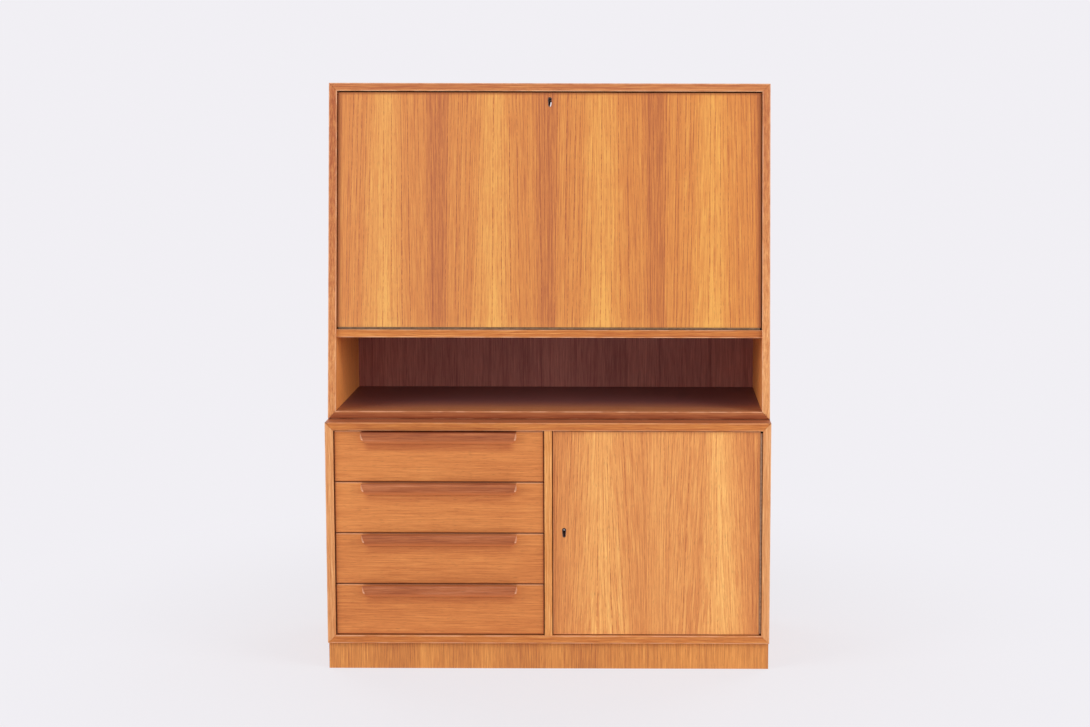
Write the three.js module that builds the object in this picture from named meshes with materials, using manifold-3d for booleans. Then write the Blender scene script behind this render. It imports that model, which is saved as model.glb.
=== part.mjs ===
// Two-part teak secretary desk: a low drawer and cupboard unit on a plinth, and on top of it a
// shallower desk unit whose front leans back, with an open niche, a fall flap and a fitted desk space.
// Millimetres, +X to the right, +Y to the back, +Z up. The front faces -Y.

import * as THREE from 'three';
import { mergeVertices } from 'three/addons/utils/BufferGeometryUtils.js';
import Module from 'manifold-3d';

const wasm = await Module();
wasm.setup();

// ---------------------------------------------------------------- driving dimensions

// Carcasses
const width = 1000;
const depth = 415;
const board = 18;
const plinthHeight = 60;
const lowerHeight = 506;
const upperHeight = 756;
const upperSetbackAtBottom = 45;
const upperSetbackAtTop = 131;
const lowerFootRounding = 1;
const upperFootRounding = 5;
const dividerThickness = 17;
const dividerSetback = 1;
const backThickness = 5;
const backRabbetWidth = 9;
const grooveDepth = 5;

// Plinth
const plinthBoard = 18;
const plinthFrontInset = 8;
const plinthSideInset = 1.5;

// What stands in the front openings
const frontInset = 6;
const frontThickness = 18;
const frontGap = 2;

// Drawers
const drawerCount = 4;
const drawerSide = 10;
const drawerBoxHeight = 88;
const drawerRearGap = 27.4;
const drawerSideGap = 2;
const drawerBottomThickness = 4;
const drawerBottomRaise = 6;
const runnerHeight = 11;
const runnerReach = 7;
const runnerEndInset = 1;

// Drawer pulls
const pullTopLength = 356;
const pullKneeLength = 346;
const pullKneeHeight = 10;
const pullBottomLength = 328;
const pullEndTaper = 4.5;
const pullHeight = 28;
const pullReach = 17;
const pullGlueHeight = 14;
const pullFootThickness = 3.5;
const pullLipThickness = 3.2;
const pullHollow = 1.2;
const pullArris = 0.8;

// Niche and desk
const nicheHeight = 165;
const flapTopGap = 3;
const deskFloorSetback = 1.5;

// Piano hinges
const hingeGap = 5.4;
const barrelRadius = 2.6;
const hingePinRadius = 1;
const leafThickness = 1;
const leafWidth = 14;
const knucklePitch = 57.5;
const hingeEndGap = 3;

// Locks
const lockWidth = 44;
const lockThickness = 11;
const lockTail = 20;
const lockWall = 1.4;
const boltWidth = 18;
const boltThickness = 4.5;
const boltTravel = 6.5;
const mortisePlay = 1;
const mortiseSpareDepth = 2;
const flapBackset = 15;
const doorBackset = 25;
const doorKeyRaise = 7.7;
const keyPostRadius = 1.1;
const keyPostSetback = 2;
const keyWellRadius = 3.6;
const linerWidth = 9;
const linerHeight = 21.5;
const linerTipWidth = 6.4;
const linerWall = 1.8;
const linerDepth = 6;

// Flap stays
// Share of the room behind the hinge that the stay's radius takes
const stayRadiusShare = 0.477;
const stayStandOff = 9;
const stayClosedAngle = 14;
const stayInset = 8;
const stayRodRadius = 2.5;
const stayStopRadius = 4.5;
const stayStopLength = 5;
const stayEyeRadius = 6;
const stayEyeThickness = 5.6;
const stayStudRadius = 2.2;
const stayEarThickness = 3;
const stayFootWidth = 22;
const stayFootHeight = 24;
const stayFootThickness = 2;
const stayGuideWidth = 9;
const stayGuideLength = 14;
const stayGuideHeight = 11;
const stayBossRadius = 5;
const stayPlateRadius = 9;
const stayPlateThickness = 2;

// Desk gallery
const galleryBoard = 10;
const galleryDepth = 180;
const galleryDrawerHeight = 58;
const gallerySideGap = 26;
const galleryTrayWall = 7;
const galleryTrayFloor = 5;
const galleryNotchRadius = 16;

// Cupboard shelf
const cupboardShelfThickness = 16;
const cupboardShelfHeight = 235;
const cupboardShelfSetback = 14;
const shelfPinRadius = 3;
const shelfPinReach = 8;
const shelfPinInset = 55;

// Clearances
const seat = 0.3;
const mitrePlay = 0.2;
const slidePlay = 0.5;

// ---------------------------------------------------------------- worked-out places

const lowerBottomZ = plinthHeight + seat;
const lowerTopZ = lowerBottomZ + lowerHeight;
const upperBottomZ = lowerTopZ + seat;
const upperTopZ = upperBottomZ + upperHeight;
const halfWidth = width / 2;
const innerHalf = halfWidth - board;
const backFace = depth - backThickness - seat;
const lean = Math.atan2(upperSetbackAtTop - upperSetbackAtBottom, upperHeight);

const lowerInnerBottom = lowerBottomZ + board;
const lowerInnerTop = lowerTopZ - board;
const nicheFloorZ = upperBottomZ + board;
const shelfBottomZ = nicheFloorZ + nicheHeight;
const shelfTopZ = shelfBottomZ + board;
const upperInnerTop = upperTopZ - board;

// The flap's front face and the shelf's front edge share one leaning plane behind the frame's.
const frameFrontAt = (z) => upperSetbackAtBottom + (z - upperBottomZ) * Math.tan(lean);
const flapFrontAt = (z) => frameFrontAt(z) + frontInset / Math.cos(lean);
const flapAxisZ = shelfTopZ + hingeGap / 2;
const flapAxisY = flapFrontAt(flapAxisZ);
const flapHeight = (upperInnerTop - flapTopGap - flapAxisZ) / Math.cos(lean);
const deskFloorTopZ = flapAxisZ + frontThickness;
const deskFloorFrontY = flapAxisY + frontThickness / Math.cos(lean)
  + frontThickness * Math.tan(lean) + deskFloorSetback;

const pullProud = pullReach + seat - frontInset;
const centreY = (depth - pullProud) / 2;

// ---------------------------------------------------------------- materials

const finish = (color, roughness, metalness = 0) => ({ color, roughness, metalness });
const TEAK = finish(0xc8823f, 0.55);
const TEAK_DARK = finish(0xa8623a, 0.5);
const TEAK_INNER = finish(0x8a5230, 0.6);
const BIRCH = finish(0xd9b98a, 0.65);
const BRASS = finish(0x9c8a5c, 0.4, 1);
const STEEL = finish(0xa8a6a0, 0.35, 1);

// ---------------------------------------------------------------- shape tools

/** A closed three.js geometry as a solid for cutting and joining. */
function solidOf(geometry) {
  const bare = geometry.clone();
  bare.deleteAttribute('normal');
  bare.deleteAttribute('uv');
  const merged = mergeVertices(bare, 1e-4);
  return new wasm.Manifold(new wasm.Mesh({
    numProp: 3,
    vertProperties: new Float32Array(merged.attributes.position.array),
    triVerts: new Uint32Array(merged.index.array),
  }));
}

/** A solid turned back into a geometry. */
function geometryOf(solid) {
  const mesh = solid.getMesh();
  const geometry = new THREE.BufferGeometry();
  geometry.setAttribute('position', new THREE.BufferAttribute(new Float32Array(mesh.vertProperties), 3));
  geometry.setIndex(new THREE.BufferAttribute(new Uint32Array(mesh.triVerts), 1));
  geometry.computeVertexNormals();
  return geometry;
}

const join = (first, ...others) => others.reduce((whole, other) => whole.add(other), first);
const cut = (first, ...others) => others.reduce((whole, other) => whole.subtract(other), first);

/** A block between two corners. */
function block([x0, y0, z0], [x1, y1, z1]) {
  const geometry = new THREE.BoxGeometry(x1 - x0, y1 - y0, z1 - z0);
  geometry.translate((x0 + x1) / 2, (y0 + y1) / 2, (z0 + z1) / 2);
  return geometry;
}

// The outline's first and second coordinates, and the run of the extrusion, as world axes.
const RUNS = {
  x: new THREE.Matrix4().set(0, 0, 1, 0, 1, 0, 0, 0, 0, 1, 0, 0, 0, 0, 0, 1),
  y: new THREE.Matrix4().set(1, 0, 0, 0, 0, 0, -1, 0, 0, 1, 0, 0, 0, 0, 0, 1),
  z: new THREE.Matrix4(),
};

/** An outline of [u, v] points run along an axis: yz outlines run along x, xz along y, xy along z. */
function run(axis, outline, from, to) {
  const shape = outline instanceof THREE.Shape
    ? outline
    : new THREE.Shape(outline.map(([u, v]) => new THREE.Vector2(u, v)));
  const settings = { depth: to - from, bevelEnabled: false, curveSegments: 6 };
  const geometry = new THREE.ExtrudeGeometry(shape, settings);
  geometry.translate(0, 0, axis === 'y' ? -to : from);
  return geometry.applyMatrix4(RUNS[axis]);
}

/** A round bar along x between two stations, centred on the given y and z. */
function barX(radius, from, to, y = 0, z = 0, sides = 12) {
  const geometry = new THREE.CylinderGeometry(radius, radius, to - from, sides);
  geometry.rotateZ(Math.PI / 2);
  return geometry.translate((from + to) / 2, y, z);
}

/** A round bar along y between two stations, centred on the given x and z. */
function barY(radius, from, to, x = 0, z = 0, sides = 12) {
  return new THREE.CylinderGeometry(radius, radius, to - from, sides).translate(x, (from + to) / 2, z);
}

const cabinet = new THREE.Group();
cabinet.position.y = -centreY;

/** Adds one named piece to a group. */
function piece(group, name, shape, look) {
  const geometry = shape instanceof wasm.Manifold ? geometryOf(shape) : shape;
  const mesh = new THREE.Mesh(geometry, new THREE.MeshStandardMaterial(look));
  mesh.name = name;
  group.add(mesh);
  return mesh;
}

/** Four boards mitred into a rectangular frame, as outlines in the frame's own plane. */
function mitredFrame(u0, u1, v0, v1, thick) {
  const p = mitrePlay;
  return {
    left: [[u0, v0 + p], [u0 + thick, v0 + thick + p], [u0 + thick, v1 - thick - p], [u0, v1 - p]],
    right: [[u1, v0 + p], [u1, v1 - p], [u1 - thick, v1 - thick - p], [u1 - thick, v0 + thick + p]],
    low: [[u0 + p, v0], [u1 - p, v0], [u1 - thick - p, v0 + thick], [u0 + thick + p, v0 + thick]],
    high: [[u0 + p, v1], [u0 + thick + p, v1 - thick], [u1 - thick - p, v1 - thick], [u1 - p, v1]],
  };
}

/**
 * The four mitred boards of a carcass, cut to its side outline and rabbeted for its back. The front
 * edge is rounded over at its foot.
 */
function carcassBoards(z0, z1, frontBottomY, frontTopY, footRounding) {
  const profile = new THREE.Shape();
  profile.moveTo(frontBottomY + footRounding, z0);
  profile.lineTo(depth, z0);
  profile.lineTo(depth, z1);
  profile.lineTo(frontTopY, z1);
  profile.lineTo(
    frontBottomY + (frontTopY - frontBottomY) * footRounding / (z1 - z0), z0 + footRounding,
  );
  profile.quadraticCurveTo(frontBottomY, z0, frontBottomY + footRounding, z0);
  const sideView = solidOf(run('x', profile, -halfWidth, halfWidth));
  const rabbetHalf = innerHalf + backRabbetWidth;
  const rabbet = solidOf(block(
    [-rabbetHalf, backFace, z0 + board - backRabbetWidth],
    [rabbetHalf, depth + board, z1 - board + backRabbetWidth],
  ));
  const boards = mitredFrame(-halfWidth, halfWidth, z0, z1, board);
  return Object.fromEntries(Object.entries(boards).map(([side, outline]) => (
    [side, solidOf(run('y', outline, -board, depth + board)).intersect(sideView).subtract(rabbet)]
  )));
}

/** A carcass back that lies in the rabbets. */
function backPanel(z0, z1) {
  const half = innerHalf + backRabbetWidth - seat;
  const raise = board - backRabbetWidth + seat;
  return block([-half, backFace + seat, z0 + raise], [half, depth, z1 - raise]);
}

// ---------------------------------------------------------------- plinth

/** Plinth: four rails mitred at the corners, set in under the lower carcass. */
function makePlinth() {
  const half = halfWidth - plinthSideInset;
  const rails = mitredFrame(-half, half, plinthFrontInset, depth, plinthBoard);
  piece(cabinet, 'plinth_left', run('z', rails.left, 0, plinthHeight), TEAK);
  piece(cabinet, 'plinth_right', run('z', rails.right, 0, plinthHeight), TEAK);
  piece(cabinet, 'plinth_front', run('z', rails.low, 0, plinthHeight), TEAK);
  piece(cabinet, 'plinth_back', run('z', rails.high, 0, plinthHeight), TEAK);
}

// ---------------------------------------------------------------- lower carcass

const dividerHalf = dividerThickness / 2;
const bayLeft = -innerHalf;
const bayRight = -dividerHalf;
const drawerFrontHeight = (lowerInnerTop - lowerInnerBottom - (drawerCount + 1) * frontGap) / drawerCount;
const drawerBottomZ = (index) => lowerInnerTop - (index + 1) * (drawerFrontHeight + frontGap);
const drawerBoxFrontY = frontInset + frontThickness + seat;
const drawerBoxBackY = backFace - drawerRearGap;
const runnerZ = (index) => drawerBottomZ(index) + drawerFrontHeight / 2;
const runnerFrontY = drawerBoxFrontY + frontGap;
const runnerBackY = drawerBoxBackY - runnerEndInset;

/** The runner strips of one side of the drawer bay, which reach from wallX into the bay. */
function runnerStrips(wallX, inward) {
  const rootX = wallX - inward * runnerReach / 2;
  const tipX = wallX + inward * runnerReach;
  return Array.from({ length: drawerCount }, (_, index) => solidOf(block(
    [Math.min(rootX, tipX), runnerFrontY, runnerZ(index) - runnerHeight / 2],
    [Math.max(rootX, tipX), runnerBackY, runnerZ(index) + runnerHeight / 2],
  )));
}

/** The two shelf pins that stand out of a cupboard wall. */
function shelfPins(wallX, inward) {
  const rootX = wallX - inward * shelfPinReach / 2;
  const tipX = wallX + inward * shelfPinReach;
  const z = lowerInnerBottom + cupboardShelfHeight - seat - shelfPinRadius;
  const frontPinY = drawerBoxFrontY + cupboardShelfSetback + shelfPinInset;
  return [frontPinY, backFace - shelfPinInset].map((y) => solidOf(barX(
    shelfPinRadius, Math.min(rootX, tipX), Math.max(rootX, tipX), y, z, 10,
  )));
}

/** The divider's blank, grown on all sides to cut its grooves in the top and the bottom. */
function dividerBlank(grow) {
  return solidOf(block(
    [-dividerHalf - grow, dividerSetback - grow, lowerInnerBottom - grooveDepth - grow],
    [dividerHalf + grow, backFace - seat + grow, lowerInnerTop + grooveDepth + grow],
  ));
}

/** Lower carcass: a mitred box with a divider, the drawer runners and the cupboard's shelf. */
function makeLowerCarcass(doorBoltMortise) {
  const boards = carcassBoards(lowerBottomZ, lowerTopZ, 0, 0, lowerFootRounding);
  const dividerGroove = dividerBlank(seat);
  piece(cabinet, 'lower_side_left', join(boards.left, ...runnerStrips(bayLeft, 1)), TEAK);
  piece(cabinet, 'lower_side_right', join(boards.right, ...shelfPins(innerHalf, -1)), TEAK);
  piece(cabinet, 'lower_bottom', cut(boards.low, dividerGroove), TEAK);
  piece(cabinet, 'lower_top', cut(boards.high, dividerGroove), TEAK);
  const divider = join(dividerBlank(0), ...runnerStrips(bayRight, -1), ...shelfPins(dividerHalf, 1));
  piece(cabinet, 'lower_divider', cut(divider, doorBoltMortise), TEAK);
  piece(cabinet, 'lower_back', backPanel(lowerBottomZ, lowerTopZ), TEAK_INNER);
  piece(cabinet, 'cupboard_shelf', block(
    [dividerHalf + frontGap, drawerBoxFrontY + cupboardShelfSetback, lowerInnerBottom + cupboardShelfHeight],
    [innerHalf - frontGap, backFace - seat, lowerInnerBottom + cupboardShelfHeight + cupboardShelfThickness],
  ), TEAK_INNER);
}

// ---------------------------------------------------------------- drawers

/**
 * A lip pull. From the side, its face hollows out from a thin foot to the lip, and a cove behind the
 * lip takes the fingertips. From the front its ends slant to a knee and turn in to the foot, and from
 * above they taper.
 */
function pullSolid(centreX, topZ) {
  const face = frontInset - seat;
  const tipY = face - pullReach;
  const bottomZ = topZ - pullHeight;
  const side = new THREE.Shape();
  side.moveTo(face, bottomZ);
  side.lineTo(face, bottomZ + pullGlueHeight);
  side.quadraticCurveTo(
    tipY + pullLipThickness, bottomZ + pullGlueHeight,
    tipY + pullLipThickness, topZ - pullArris,
  );
  side.lineTo(tipY + pullLipThickness - pullArris, topZ);
  side.lineTo(tipY + pullArris, topZ);
  side.lineTo(tipY, topZ - pullArris);
  side.quadraticCurveTo(
    tipY + pullHollow, bottomZ + pullGlueHeight,
    face - pullFootThickness, bottomZ + pullArris,
  );
  side.lineTo(face - pullFootThickness + pullArris, bottomZ);
  side.closePath();

  const topHalf = pullTopLength / 2;
  const kneeHalf = pullKneeLength / 2;
  const bottomHalf = pullBottomLength / 2;
  const front = [
    [centreX - bottomHalf, bottomZ], [centreX + bottomHalf, bottomZ],
    [centreX + kneeHalf, bottomZ + pullKneeHeight], [centreX + topHalf, topZ],
    [centreX - topHalf, topZ], [centreX - kneeHalf, bottomZ + pullKneeHeight],
  ];
  // The taper's outline runs on by one reach past the face and past the lip.
  const wide = topHalf + pullEndTaper;
  const narrow = topHalf - 2 * pullEndTaper;
  const plan = [
    [centreX - wide, face + pullReach], [centreX - narrow, tipY - pullReach],
    [centreX + narrow, tipY - pullReach], [centreX + wide, face + pullReach],
  ];
  return solidOf(run('x', side, centreX - pullTopLength, centreX + pullTopLength))
    .intersect(solidOf(run('y', front, tipY - pullReach, face + pullReach)))
    .intersect(solidOf(run('z', plan, bottomZ - pullHeight, topZ + pullHeight)));
}

/** One drawer, counted from the top: front, pull, glued box and loose bottom. */
function makeDrawer(index) {
  const name = `drawer_${index + 1}`;
  const low = drawerBottomZ(index);
  const high = low + drawerFrontHeight;
  const left = bayLeft + drawerSideGap;
  const right = bayRight - drawerSideGap;
  const frontBack = frontInset + frontThickness;
  const boxLow = low + (drawerFrontHeight - drawerBoxHeight) / 2;
  const bottomAt = (grow) => solidOf(block(
    [left + drawerSide - grooveDepth - grow, frontBack - grooveDepth - grow, boxLow + drawerBottomRaise - grow],
    [
      right - drawerSide + grooveDepth + grow,
      drawerBoxBackY - drawerSide + grooveDepth + grow,
      boxLow + drawerBottomRaise + drawerBottomThickness + grow,
    ],
  ));
  const front = solidOf(block(
    [bayLeft + frontGap, frontInset, low],
    [bayRight - frontGap, frontBack, high],
  ));
  const shell = cut(
    solidOf(block([left, drawerBoxFrontY, boxLow], [right, drawerBoxBackY, boxLow + drawerBoxHeight])),
    solidOf(block(
      [left + drawerSide, drawerBoxFrontY - board, boxLow - board],
      [right - drawerSide, drawerBoxBackY - drawerSide, high + board],
    )),
  );
  const grooveReach = runnerReach - drawerSideGap + slidePlay;
  const grooveHalf = runnerHeight / 2 + slidePlay;
  const runnerGrooves = [[left - board, left + grooveReach], [right - grooveReach, right + board]]
    .map(([x0, x1]) => solidOf(block(
      [x0, runnerFrontY - slidePlay, runnerZ(index) - grooveHalf],
      [x1, drawerBoxBackY + board, runnerZ(index) + grooveHalf],
    )));
  piece(cabinet, `${name}_front`, cut(front, bottomAt(seat)), TEAK);
  piece(cabinet, `${name}_pull`, pullSolid((left + right) / 2, high), TEAK_DARK);
  piece(cabinet, `${name}_box`, cut(shell, bottomAt(seat), ...runnerGrooves), BIRCH);
  piece(cabinet, `${name}_bottom`, bottomAt(0), BIRCH);
}

// ---------------------------------------------------------------- piano hinges

/**
 * One leaf of a piano hinge with its knuckles, about a pin along x that starts at x = 0.
 * Side 1 puts the leaf above the pin and side -1 below it; both run back along +y.
 */
function hingeLeaf(length, side) {
  const count = Math.round(length / knucklePitch);
  const pitch = length / count;
  const outer = side * (hingeGap / 2 - seat);
  const inner = outer - side * leafThickness;
  const leaf = join(
    solidOf(block([0, 0, Math.min(inner, outer)], [length, leafWidth, Math.max(inner, outer)])),
    solidOf(barX(barrelRadius, 0, length)),
  );
  const others = Array.from({ length: count }, (_, index) => index)
    .filter((index) => (index % 2 === 0) === (side > 0))
    .map((index) => solidOf(barX(
      barrelRadius + seat, index * pitch - seat / 2, (index + 1) * pitch + seat / 2,
    )));
  return cut(leaf, solidOf(barX(hingePinRadius + seat, -board, length + board, 0, 0, 8)), ...others);
}

const hingePin = (length) => barX(hingePinRadius, 0, length, 0, 0, 8);

// ---------------------------------------------------------------- locks

/**
 * A cut-in lock about its own axes: the edge of the panel is z = 0 with the bolt thrown to +z,
 * the panel's front face is y = 0, and the key goes in along +y at z = -backset.
 */
function lockShapes(backset) {
  const inside = frontThickness - lockThickness;
  const length = backset + lockTail;
  const boltLength = backset - keyWellRadius - lockWall;
  const boltMid = frontThickness - lockThickness / 2;
  const boltAt = (grow, reach) => block(
    [-boltWidth / 2 - grow, boltMid - boltThickness / 2 - grow, -boltLength - grow],
    [boltWidth / 2 + grow, boltMid + boltThickness / 2 + grow, reach],
  );
  const well = solidOf(barY(keyWellRadius, inside - board, frontThickness - lockWall, 0, -backset));
  const post = solidOf(barY(keyPostRadius, keyPostSetback, frontThickness - lockWall / 2, 0, -backset, 8));
  const body = block(
    [-lockWidth / 2, inside + seat, -length],
    [lockWidth / 2, frontThickness, -seat],
  );
  return {
    lockCase: join(cut(solidOf(body), solidOf(boltAt(seat, board)), well), post),
    bolt: boltAt(0, -seat),
    recess: block([-lockWidth / 2 - seat, inside, -length - seat], [lockWidth / 2 + seat, 2 * board, board]),
    mortise: boltAt(mortisePlay, boltTravel + mortiseSpareDepth),
  };
}

/** A pear outline, round at the top and narrow at the foot, about the centre of its round part. */
function pearOutline(u, v, topRadius, tipRadius, drop) {
  const tilt = Math.asin((topRadius - tipRadius) / drop);
  const shape = new THREE.Shape();
  shape.absarc(u, v, topRadius, -tilt, Math.PI + tilt, false);
  shape.absarc(u, v - drop, tipRadius, Math.PI + tilt, 2 * Math.PI - tilt, false);
  shape.closePath();
  return shape;
}

/** The keyhole's plug, grown or shrunk by an even margin, at the key's place in a panel's front face. */
function keyholePlug(x, z, grow, from, to) {
  const top = linerWidth / 2 + grow;
  const tip = linerTipWidth / 2 + grow;
  const drop = linerHeight - linerWidth / 2 - linerTipWidth / 2;
  return solidOf(run('y', pearOutline(x, z, top, tip, drop), from, to));
}

const keyholeLiner = (x, z) => cut(
  keyholePlug(x, z, 0, 0, linerDepth),
  keyholePlug(x, z, -linerWall, -board, board),
);

// ---------------------------------------------------------------- door

const doorLeft = dividerHalf + frontGap;
const doorRight = innerHalf - hingeGap;
const doorAxisX = innerHalf - hingeGap / 2;
const doorLow = lowerInnerBottom + frontGap;
const doorHigh = lowerInnerTop - frontGap;
const doorKeyX = doorLeft + doorBackset;
const doorKeyZ = (doorLow + doorHigh) / 2 + doorKeyRaise;

// Moves lock shapes onto the door's left edge, with the bolt thrown to -x.
const doorLockPlace = new THREE.Matrix4()
  .makeTranslation(doorLeft, frontInset, doorKeyZ)
  .multiply(new THREE.Matrix4().makeRotationY(-Math.PI / 2));

/** Cupboard door: a veneered panel with its lock, hung on the right by a piano hinge. */
function makeDoor(lock) {
  const group = new THREE.Group();
  group.position.y = frontInset;
  cabinet.add(group);
  const recess = solidOf(lock.recess.clone().applyMatrix4(doorLockPlace)).translate([0, -frontInset, 0]);
  const panel = solidOf(block([doorLeft, 0, doorLow], [doorRight, frontThickness, doorHigh]));
  piece(group, 'door_panel', cut(panel, recess, keyholePlug(doorKeyX, doorKeyZ, seat, -board, board)), TEAK);
  piece(group, 'door_keyhole_liner', keyholeLiner(doorKeyX, doorKeyZ), STEEL);

  const lockGroup = new THREE.Group();
  lockGroup.applyMatrix4(doorLockPlace);
  cabinet.add(lockGroup);
  piece(lockGroup, 'door_lock_case', lock.lockCase, STEEL);
  piece(lockGroup, 'door_lock_bolt', lock.bolt, STEEL);

  const hingeLength = doorHigh - doorLow - 2 * hingeEndGap;
  const hinge = new THREE.Group();
  hinge.position.set(doorAxisX, frontInset, doorHigh - hingeEndGap);
  hinge.rotation.y = Math.PI / 2;
  cabinet.add(hinge);
  piece(hinge, 'door_hinge_frame_leaf', hingeLeaf(hingeLength, 1), BRASS);
  piece(hinge, 'door_hinge_door_leaf', hingeLeaf(hingeLength, -1), BRASS);
  piece(hinge, 'door_hinge_pin', hingePin(hingeLength), STEEL);
}

// ---------------------------------------------------------------- upper carcass

/** The desk shelf's blank, its front edge in the flap's plane, grown to cut its grooves. */
function shelfBlank(grow) {
  const outline = [
    [flapFrontAt(shelfBottomZ) - grow, shelfBottomZ - grow],
    [backFace - seat + grow, shelfBottomZ - grow],
    [backFace - seat + grow, shelfTopZ + grow],
    [flapFrontAt(shelfTopZ) - grow, shelfTopZ + grow],
  ];
  const half = innerHalf + grooveDepth + grow;
  return solidOf(run('x', outline, -half, half));
}

/** Upper carcass: a mitred box with a leaning front, the desk shelf and the raised desk floor. */
function makeUpperCarcass(flapBoltMortise) {
  const boards = carcassBoards(
    upperBottomZ, upperTopZ, upperSetbackAtBottom, upperSetbackAtTop, upperFootRounding,
  );
  const shelfGroove = shelfBlank(seat);
  piece(cabinet, 'upper_side_left', cut(boards.left, shelfGroove), TEAK);
  piece(cabinet, 'upper_side_right', cut(boards.right, shelfGroove), TEAK);
  piece(cabinet, 'upper_bottom', boards.low, TEAK);
  piece(cabinet, 'upper_top', cut(boards.high, flapBoltMortise), TEAK);
  piece(cabinet, 'upper_shelf', shelfBlank(0), TEAK);
  piece(cabinet, 'upper_back', backPanel(upperBottomZ, upperTopZ), TEAK_INNER);
  piece(cabinet, 'desk_floor', block(
    [-innerHalf + seat, deskFloorFrontY, shelfTopZ + seat],
    [innerHalf - seat, backFace - seat, deskFloorTopZ],
  ), TEAK_INNER);
}

// ---------------------------------------------------------------- flap

// The flap's own frame: its hinge axis is the origin, +z runs up the leaning panel.
const flapPlace = new THREE.Matrix4()
  .makeTranslation(0, flapAxisY, flapAxisZ)
  .multiply(new THREE.Matrix4().makeRotationX(-lean));

/** Fall flap: a veneered panel with its lock, hung at its foot by a piano hinge. */
function makeFlap(flap, lock) {
  const half = innerHalf - frontGap;
  const keyZ = flapHeight - flapBackset;
  const lift = new THREE.Matrix4().makeTranslation(0, 0, flapHeight);
  const recess = solidOf(lock.recess.clone().applyMatrix4(lift));
  const panel = solidOf(block([-half, 0, hingeGap / 2], [half, frontThickness, flapHeight]));
  piece(flap, 'flap_panel', cut(panel, recess, keyholePlug(0, keyZ, seat, -board, board)), TEAK);
  piece(flap, 'flap_keyhole_liner', keyholeLiner(0, keyZ), STEEL);

  const lockGroup = new THREE.Group();
  lockGroup.position.z = flapHeight;
  flap.add(lockGroup);
  piece(lockGroup, 'flap_lock_case', lock.lockCase, STEEL);
  piece(lockGroup, 'flap_lock_bolt', lock.bolt, STEEL);

  const hingeLength = 2 * (half - hingeEndGap);
  const hinge = new THREE.Group();
  hinge.position.x = -hingeLength / 2;
  flap.add(hinge);
  piece(hinge, 'flap_hinge_flap_leaf', hingeLeaf(hingeLength, 1), BRASS);
  const shelfHinge = new THREE.Group();
  shelfHinge.position.set(-hingeLength / 2, flapAxisY, flapAxisZ);
  cabinet.add(shelfHinge);
  piece(shelfHinge, 'flap_hinge_shelf_leaf', hingeLeaf(hingeLength, -1), BRASS);
  piece(shelfHinge, 'flap_hinge_pin', hingePin(hingeLength), STEEL);
}

// ---------------------------------------------------------------- flap stays

// The rod's eye on the flap and the swivel guide on the side are equally far from the hinge, so
// the rod turns through half the flap's angle and always runs straight through the guide.
const degrees = Math.PI / 180;
const flapOpenAngle = Math.PI / 2 + lean;
const stayRadius = (backFace - flapAxisY) * stayRadiusShare;
const eyeAngle = Math.asin((frontThickness + stayStandOff) / stayRadius);
const guideAngle = eyeAngle + stayClosedAngle * degrees;
const rodTilt = (eyeAngle + guideAngle) / 2;
const openSpan = 2 * stayRadius * Math.sin((stayClosedAngle * degrees + flapOpenAngle) / 2);
const rodLength = openSpan + stayGuideLength / 2 + seat + stayStopLength;
const onStayCircle = (angle) => [stayRadius * Math.sin(angle), stayRadius * Math.cos(angle)];

/** A group in the flap's frame at a point of the stay circle, on the rod's line across the cabinet. */
function stayGroup(flap, side, angle, tilt) {
  const group = new THREE.Group();
  group.position.set(side * (innerHalf - stayInset), ...onStayCircle(angle));
  group.rotation.x = -tilt;
  flap.add(group);
  return group;
}

/**
 * One flap stay: a bracket on the flap, a rod with an eye and a stop, and a swivel guide on the side.
 * With the flap open, the rod's stop bears on the guide.
 */
function makeStay(flap, name, side) {
  const ordered = (a, b) => [Math.min(a, b), Math.max(a, b)];
  const eyeHalf = stayEyeThickness / 2;
  const rod = join(
    solidOf(barX(stayEyeRadius, -eyeHalf, eyeHalf, 0, 0, 16)),
    solidOf(barY(stayRodRadius, 0, rodLength, 0, 0, 10)),
    solidOf(barY(stayStopRadius, rodLength - stayStopLength, rodLength)),
  );
  const studHole = solidOf(barX(stayStudRadius + seat, -board, board));
  piece(stayGroup(flap, side, eyeAngle, rodTilt), `stay_rod_${name}`, cut(rod, studHole), STEEL);

  const inward = -side;
  const earFrom = inward * (eyeHalf + seat);
  const [earLeft, earRight] = ordered(earFrom, earFrom + inward * stayEarThickness);
  const [footLeft, footRight] = ordered(earFrom, earFrom + inward * stayFootWidth);
  const [studLeft, studRight] = ordered(-inward * eyeHalf, earFrom + inward * stayEarThickness / 2);
  const faceY = frontThickness + seat - onStayCircle(eyeAngle)[0];
  piece(stayGroup(flap, side, eyeAngle, 0), `stay_bracket_${name}`, join(
    solidOf(block(
      [footLeft, faceY, -stayFootHeight / 2],
      [footRight, faceY + stayFootThickness, stayFootHeight / 2],
    )),
    solidOf(block([earLeft, faceY, -stayEyeRadius], [earRight, stayEyeRadius, stayEyeRadius])),
    solidOf(barX(stayStudRadius, studLeft, studRight)),
  ), BRASS);

  const wallX = side * (stayInset - seat);
  const [bossLeft, bossRight] = ordered(side * stayRodRadius, wallX);
  const [plateLeft, plateRight] = ordered(wallX - side * stayPlateThickness, wallX);
  piece(stayGroup(flap, side, guideAngle, rodTilt), `stay_guide_${name}`, cut(
    join(
      solidOf(block(
        [-stayGuideWidth / 2, -stayGuideLength / 2, -stayGuideHeight / 2],
        [stayGuideWidth / 2, stayGuideLength / 2, stayGuideHeight / 2],
      )),
      solidOf(barX(stayBossRadius, bossLeft, bossRight, 0, 0, 16)),
      solidOf(barX(stayPlateRadius, plateLeft, plateRight, 0, 0, 20)),
    ),
    solidOf(barY(stayRodRadius + slidePlay, -board, board, 0, 0, 10)),
  ), BRASS);
}

// ---------------------------------------------------------------- desk gallery

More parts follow.
